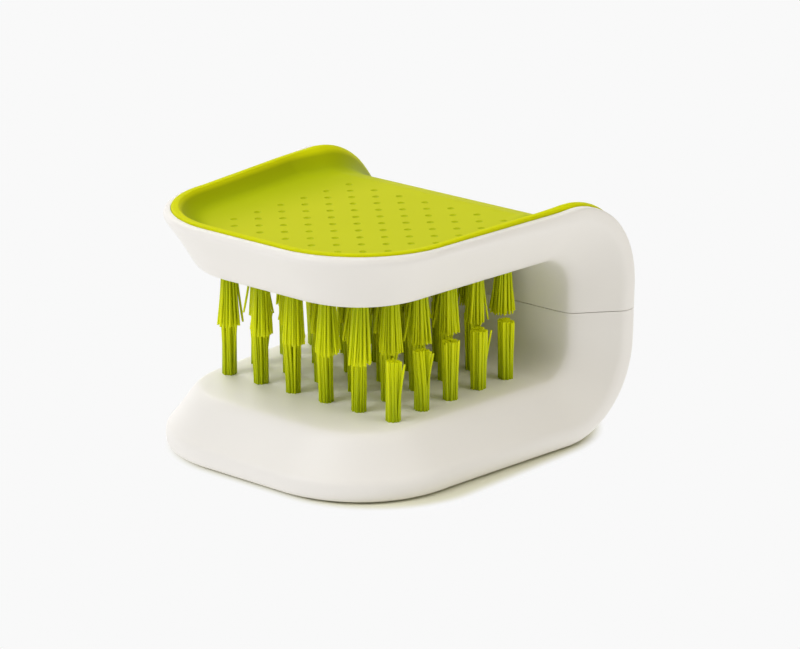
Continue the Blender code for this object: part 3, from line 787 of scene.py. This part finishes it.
def bristle_row(rng, half, number, tufts, face_z, form):
    """One row of tufts in place of its node, spaced between the ends of the node's strip."""
    side = "upper" if half == UPPER else "lower"
    node = f"{side}_bristle_row_{number}"
    low, high = (np.array(corner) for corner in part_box(node))
    end_x = high[0] - (high[1] - low[1]) / 2
    centres = np.stack([np.linspace(-end_x, end_x, tufts), np.full(tufts, (low[1] + high[1]) / 2)], axis=1)
    paths = tuft_filaments(rng, centres, face_z, half, form)
    piece = filament_mesh(f"{side}_tufts_{number}", rng, paths, half)
    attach(piece, "root")
    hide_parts(node)
    return piece


rng = np.random.default_rng(SEED)
tufts = [bristle_row(rng, LOWER, number, LOWER_TUFTS, THROAT_FLOOR, LOWER_FORM)
         for number in range(1, LOWER_ROWS + 1)]
tufts += [bristle_row(rng, UPPER, number, UPPER_TUFTS, THROAT_ROOF, UPPER_FORM)
          for number in range(1, UPPER_ROWS + 1)]
print(len(tufts), "rows of tufts,", sum(len(row.data.polygons) for row in tufts), "faces")

# %% [markdown]
# ## Finishes
#
# The shells are satin white plastic, the pad is matt rubber with a fine moulded grain, and the filaments are
# nylon of a slightly varied green. Image textures would need a flat layout of every piece, so each finish is
# built from nodes that read object coordinates, or an attribute of the piece.

# %% Material helpers
def node_adder(tree):
    """A function that adds a node to a tree, with its settings, and a value or a link for each input."""
    def add(kind, inputs=(), **settings):
        node = tree.nodes.new(kind)
        for key, value in settings.items():
            setattr(node, key, value)
        for socket, value in dict(inputs).items():
            if isinstance(value, bpy.types.NodeSocket):
                tree.links.new(value, node.inputs[socket])
            else:
                node.inputs[socket].default_value = value
        return node

    return add


def new_finish(name):
    """A material with its Principled shader and the functions that add and link its nodes."""
    finish = bpy.data.materials.new(name)
    finish.use_nodes = True
    tree = finish.node_tree
    return finish, tree.nodes["Principled BSDF"], node_adder(tree), tree.links.new


def mix_colours(add, share, first, second):
    """A colour between two others; the mix node keeps its colours in inputs 6 and 7 and output 2."""
    return add("ShaderNodeMix", {0: share, 6: first, 7: second}, data_type="RGBA").outputs[2]


def mapped(add, value, low, high, to_low=0.0, to_high=1.0, kind="LINEAR"):
    """Carries a value over from one range to another, in a straight line or a smooth step."""
    inputs = {"Value": value, "From Min": low, "From Max": high, "To Min": to_low, "To Max": to_high}
    return add("ShaderNodeMapRange", inputs, interpolation_type=kind).outputs["Result"]


def grain(add, coordinates, scale, strength, distance):
    """The normal of a fine bump from noise."""
    noise = add("ShaderNodeTexNoise", {"Vector": coordinates, "Scale": scale, "Detail": 3.0})
    inputs = {"Height": noise.outputs["Fac"], "Strength": strength, "Distance": distance}
    return add("ShaderNodeBump", inputs).outputs["Normal"]


def dress(pieces, finish):
    """Gives a finish to pieces or carried nodes."""
    for piece in pieces:
        piece.data.materials.clear()
        piece.data.materials.append(finish)


# %% White plastic
WHITES = ((0.892, 0.858, 0.803, 1), (0.908, 0.874, 0.820, 1))


def white_plastic():
    """Satin white plastic: a warm white whose gloss varies a little, over a fine spark-eroded grain."""
    finish, shader, add, link = new_finish("satin_white_plastic")
    place = add("ShaderNodeTexCoord").outputs["Object"]
    cloud = add("ShaderNodeTexNoise", {"Vector": place, "Scale": 40.0, "Detail": 2.0}).outputs["Fac"]
    link(mix_colours(add, cloud, *WHITES), shader.inputs["Base Color"])
    link(mapped(add, cloud, 0.0, 1.0, 0.36, 0.44), shader.inputs["Roughness"])
    link(grain(add, place, scale=2600.0, strength=0.06, distance=0.02 * MM), shader.inputs["Normal"])
    shader.inputs["Specular IOR Level"].default_value = 0.35
    return finish


# %% Colours of the pad
# Each zone starts at a height over the floor, as a share of the lip's: floor, slope, upper slope and lip. The
# slope and upper slope are painted darker as shade, and the lip is painted brighter as lit.
RUBBER_SHADE_ZONES = ((0.01, (0.400, 0.465, 0.001, 1)), (0.20, (0.340, 0.400, 0.001, 1)),
                (0.68, (0.370, 0.415, 0.001, 1)), (0.88, (0.640, 0.655, 0.002, 1)))
# Painted sheen: the floor turns paler towards the right, a painted reflection of a low light that the left
# lip hides near the left.
PAINTED_SHEEN_COLOUR = (0.564, 0.588, 0.019, 1)
PAINTED_SHEEN_FROM_X = -33.0 * MM
PAINTED_SHEEN_TO_X = -9.0 * MM
FLOOR_FADE = (0.02, 0.12)


def pad_colour(add, place, cloud, rise):
    """Colour by height over the floor, with a painted sheen that makes the floor paler to the right, times a
    noise close to 1.
    """
    # The ramp paints shade on the slope and a highlight on the lip, by height over the floor.
    ramp = add("ShaderNodeValToRGB", {"Fac": rise})
    elements = ramp.color_ramp.elements
    for number, (at, zone) in enumerate(RUBBER_SHADE_ZONES):
        element = elements[number] if number < 2 else elements.new(at)
        element.position, element.color = at, zone
    axes = add("ShaderNodeSeparateXYZ", {0: place})
    # Mask of the painted sheen: 0 at the left of the floor, 1 towards the right.
    painted_sheen = mapped(add, axes.outputs["X"], PAINTED_SHEEN_FROM_X, PAINTED_SHEEN_TO_X, kind="SMOOTHSTEP")
    on_floor = mapped(add, rise, *FLOOR_FADE, 1.0, 0.0)
    share = add("ShaderNodeMath", {0: painted_sheen, 1: on_floor}, operation="MULTIPLY").outputs[0]
    zoned = mix_colours(add, share, ramp.outputs["Color"], PAINTED_SHEEN_COLOUR)
    shift = mapped(add, cloud, 0.0, 1.0, 0.97, 1.03)
    return add("ShaderNodeVectorMath", {0: zoned, "Scale": shift}, operation="SCALE").outputs[0]


# %% Soft rubber
FOOT_GREENS = ((0.590, 0.628, 0.002, 1), (0.620, 0.655, 0.003, 1))


def soft_rubber(name, zoned):
    """Yellow-green rubber with a fine grain.

    On the pad the floor is grained and light, and the slope smoother and painted deep as shade; the lip is
    painted bright as lit.
    Towards the right the floor is painted paler still, as a sheen. The foot is of one green.
    """
    finish, shader, add, link = new_finish(name)
    place = add("ShaderNodeTexCoord").outputs["Object"]
    cloud = add("ShaderNodeTexNoise", {"Vector": place, "Scale": 60.0, "Detail": 3.0}).outputs["Fac"]
    if zoned:
        rise = add("ShaderNodeAttribute", attribute_name="rise").outputs["Fac"]
        colour = pad_colour(add, place, cloud, rise)
        link(mapped(add, rise, 0.0, 0.2, 0.55, 0.46), shader.inputs["Roughness"])
    else:
        colour = mix_colours(add, cloud, *FOOT_GREENS)
    link(colour, shader.inputs["Base Color"])
    link(grain(add, place, scale=3200.0, strength=0.15, distance=0.03 * MM), shader.inputs["Normal"])
    shader.inputs["Specular IOR Level"].default_value = 0.05
    return finish


# %% Nylon
TIP_GREENS = ((0.70, 0.76, 0.001, 1), (0.84, 0.88, 0.006, 1))
# Painted shade: the filaments turn darker towards the root, where the packed bundle shades itself.
SHADED_ROOT_GREENS = ((0.33, 0.43, 0.001, 1), (0.47, 0.55, 0.001, 1))


def nylon():
    """Green nylon: each filament has its own tone, with shade painted deeper towards the root, where the
    bundle is packed.
    """
    finish, shader, add, link = new_finish("green_nylon")
    tone = add("ShaderNodeAttribute", attribute_name="tone").outputs["Fac"]
    along = add("ShaderNodeAttribute", attribute_name="along").outputs["Fac"]
    tip = mix_colours(add, tone, *TIP_GREENS)
    # Painted shade towards the root.
    root = mix_colours(add, tone, *SHADED_ROOT_GREENS)
    link(mix_colours(add, along, root, tip), shader.inputs["Base Color"])
    shader.inputs["Roughness"].default_value = 0.34
    shader.inputs["Specular IOR Level"].default_value = 0.13
    shader.inputs["Subsurface Weight"].default_value = 0.25
    shader.inputs["Subsurface Radius"].default_value = (1.0, 1.0, 0.1)
    shader.inputs["Subsurface Scale"].default_value = 0.5 * MM
    return finish


# %% Steel
def plain_steel():
    """Bright screw steel with fine turning marks."""
    finish, shader, add, link = new_finish("plain_steel")
    place = add("ShaderNodeTexCoord").outputs["Object"]
    link(grain(add, place, scale=900.0, strength=0.1, distance=0.02 * MM), shader.inputs["Normal"])
    shader.inputs["Base Color"].default_value = (0.62, 0.62, 0.60, 1)
    shader.inputs["Metallic"].default_value = 1.0
    shader.inputs["Roughness"].default_value = 0.3
    return finish


# %% Dress the pieces
nodes = frame["nodes"]
dress([lower_shell, upper_shell, nodes["pad_lid"], nodes["base_cover"]], white_plastic())
dress([grip], soft_rubber("soft_green_rubber", True))
dress([foot], soft_rubber("green_foot_rubber", False))
dress(tufts, nylon())
dress([nodes["spine_screw_left"], nodes["spine_screw_right"]], plain_steel())
print("finishes", [finish.name for finish in bpy.data.materials])

# %% [markdown]
# ## Floor and world
#
# A pale floor runs into a background of the same tone. Only the strip of floor close to the brush takes its
# shadow: further out it fades into the background, as on a light table. A plain white floor under brighter
# lamps would turn as pale, but it would burn out the white shells. The world fills the shadows a little.

# %% Floor
BACKGROUND = (0.947, 0.947, 0.947, 1)
FLOOR_SIZE = 6.0
# Painted bounce: the floor near the brush is tinted olive, standing in for green light thrown down from the
# foot into its shadow.
PAINTED_BOUNCE_FLOOR_COLOUR = (0.78, 0.77, 0.62, 1)
FLOOR_GLOW = 1.06
FOOTPRINT_MIDDLE = (2.3 * MM, 2.0 * MM, 0.0)
FOOTPRINT_HALF = (38.5 * MM, 43.8 * MM)
FOOTPRINT_CORNER = 26.0 * MM
SHADOW_END = FOOTPRINT_CORNER + 3.9 * MM


def footprint_distance(add):
    """Distance from the rectangle that joins the centres of the footprint's round corners.

    It is the length of what the point's place, mirrored into the first quarter, has beyond the half sizes.
    """
    place = add("ShaderNodeTexCoord").outputs["Object"]
    size = (FOOTPRINT_HALF[0] - FOOTPRINT_CORNER, FOOTPRINT_HALF[1] - FOOTPRINT_CORNER, 1.0)
    centred = add("ShaderNodeVectorMath", {0: place, 1: FOOTPRINT_MIDDLE}, operation="SUBTRACT").outputs[0]
    mirrored = add("ShaderNodeVectorMath", {0: centred}, operation="ABSOLUTE").outputs[0]
    beyond = add("ShaderNodeVectorMath", {0: mirrored, 1: size}, operation="SUBTRACT").outputs[0]
    outside = add("ShaderNodeVectorMath", {0: beyond, 1: (0, 0, 0)}, operation="MAXIMUM").outputs[0]
    return add("ShaderNodeVectorMath", {0: outside}, operation="LENGTH").outputs["Value"]


def pale_floor():
    """Matt and tinted olive near the brush, so that it takes the shadow with a painted green bounce, and as
    bright as the background further out.

    What the camera doesn't see of the glow is a little stronger, and lights the flared walls from below.
    """
    finish, shader, add, link = new_finish("pale_floor")
    shader.inputs["Base Color"].default_value = PAINTED_BOUNCE_FLOOR_COLOUR
    shader.inputs["Roughness"].default_value = 1.0
    shader.inputs["Specular IOR Level"].default_value = 0.0
    fade = mapped(add, footprint_distance(add), FOOTPRINT_CORNER, SHADOW_END, kind="SMOOTHSTEP")
    seen = add("ShaderNodeLightPath").outputs["Is Camera Ray"]
    strength = mapped(add, seen, 0.0, 1.0, FLOOR_GLOW, 1.0)
    glow = add("ShaderNodeEmission", {"Color": BACKGROUND, "Strength": strength})
    mixed = add("ShaderNodeMixShader", {0: fade, 1: shader.outputs[0], 2: glow.outputs[0]})
    link(mixed.outputs[0], finish.node_tree.nodes["Material Output"].inputs["Surface"])
    return finish


bpy.ops.mesh.primitive_plane_add(size=FLOOR_SIZE, location=(0, 0, 0))
floor = bpy.context.object
floor.name = "floor"
dress([floor], pale_floor())

# %% World
WORLD_FILL = 0.09
BACKDROP_FALL = (0.05, 0.25, 1.0, 0.10)


def studio_world():
    """Fills the shadows evenly, and shows the background to the camera, in reflections and through glass.

    In reflections only the low part is as bright as the background: it darkens upwards, like a backdrop that
    ends, so the pad is paler where it mirrors the backdrop and deep where its own lip stands in the way.
    """
    world = bpy.data.worlds.new("studio")
    world.use_nodes = True
    tree = world.node_tree
    add = node_adder(tree)
    fill = tree.nodes["Background"]
    fill.inputs["Color"].default_value = (1, 1, 1, 1)
    fill.inputs["Strength"].default_value = WORLD_FILL
    path = add("ShaderNodeLightPath").outputs
    direction = add("ShaderNodeTexCoord").outputs["Generated"]
    axes = add("ShaderNodeSeparateXYZ", {0: direction})
    fall = mapped(add, axes.outputs["Z"], *BACKDROP_FALL)
    strength = add("ShaderNodeMath", {0: fall, 1: path["Is Camera Ray"]}, operation="MAXIMUM").outputs[0]
    shown = add("ShaderNodeBackground", {"Color": BACKGROUND, "Strength": strength})
    seen = path["Is Camera Ray"]
    for ray in ("Is Glossy Ray", "Is Transmission Ray"):
        seen = add("ShaderNodeMath", {0: seen, 1: path[ray]}, operation="MAXIMUM").outputs[0]
    mixed = add("ShaderNodeMixShader", {0: seen, 1: fill.outputs[0], 2: shown.outputs[0]})
    tree.links.new(mixed.outputs[0], tree.nodes["World Output"].inputs["Surface"])
    return world


bpy.context.scene.world = studio_world()

# %% [markdown]
# ## Lamps
#
# Large square lamps in a ring model the form, as softboxes do. Low ones light the flared walls and reach into
# the throat, and high ones light the pad and the rounded edges. The cool ones stand to the left and in front,
# the warm ones to the right and above, so the walls turn a little creamier towards the spine. The left lamp
# doesn't show in reflections, so that it leaves no gloss on the pad's slope. Points or suns would be simpler,
# but they cast hard shadows.

# %% Lamps
LAMP_DISTANCE = 1.3
LAMP_SIZE = 0.8
COOL = (0.97, 0.98, 1.0)
WARM = (1.0, 0.975, 0.90)


def add_lamp(name, azimuth, elevation, power, colour):
    """A square soft lamp at a bearing in degrees round the brush, which it faces."""
    turn, climb = math.radians(azimuth), math.radians(elevation)
    way = Vector((math.cos(turn) * math.cos(climb), math.sin(turn) * math.cos(climb), math.sin(climb)))
    light = bpy.data.lights.new(name, "AREA")
    light.size = LAMP_SIZE
    light.energy = power
    light.color = colour
    lamp = bpy.data.objects.new(name, light)
    lamp.location = way * LAMP_DISTANCE
    lamp.rotation_euler = (-way).to_track_quat("-Z", "Y").to_euler()
    bpy.context.scene.collection.objects.link(lamp)
    print(name, "at", azimuth, elevation, "degrees,", power, "W")
    return lamp


left_lamp = add_lamp("left_lamp", 152.0, 34.0, 10.5, COOL)
left_lamp.visible_glossy = False
add_lamp("front_lamp", -115.0, 33.0, 6.4, COOL)
add_lamp("high_front_lamp", -98.0, 54.0, 3.6, COOL)
add_lamp("right_lamp", 2.0, 19.0, 2.5, WARM)
add_lamp("back_lamp", 24.0, 50.0, 4.0, WARM)
add_lamp("top_lamp", 0.0, 88.0, 2.2, WARM)

# %% [markdown]
# ## Camera
#
# The camera stands well away with a long lens, so the brush keeps nearly parallel edges. Its place was fitted
# to the grid of the tufts, which is even on the real brush. It is turned by its three axes, to the right,
# ahead and upwards, because a look-at helper would need a point to aim at.

# %% Camera
CAMERA_AZIMUTH = math.radians(41.1)
CAMERA_ELEVATION = math.radians(17.75)
CAMERA_PLACE = Vector((520.73, -587.32, 277.50)) * MM
LENS = 162.0
SENSOR_WIDTH = 36.0

right = Vector((math.cos(CAMERA_AZIMUTH), math.sin(CAMERA_AZIMUTH), 0))
ahead = Vector((-math.sin(CAMERA_AZIMUTH) * math.cos(CAMERA_ELEVATION),
                math.cos(CAMERA_AZIMUTH) * math.cos(CAMERA_ELEVATION), -math.sin(CAMERA_ELEVATION)))
upward = right.cross(ahead)
camera_data = bpy.data.cameras.new("camera")
camera_data.lens = LENS
camera_data.sensor_width = SENSOR_WIDTH
camera = bpy.data.objects.new("camera", camera_data)
axes = Matrix((right, upward, -ahead)).transposed().to_4x4()
camera.matrix_world = Matrix.Translation(CAMERA_PLACE) @ axes
bpy.context.scene.collection.objects.link(camera)
bpy.context.scene.camera = camera
bpy.context.scene.view_settings.view_transform = "Standard"
print("camera at", tuple(CAMERA_PLACE), "with a lens of", LENS, "mm")

# %% Update the scene
bpy.context.view_layer.update()
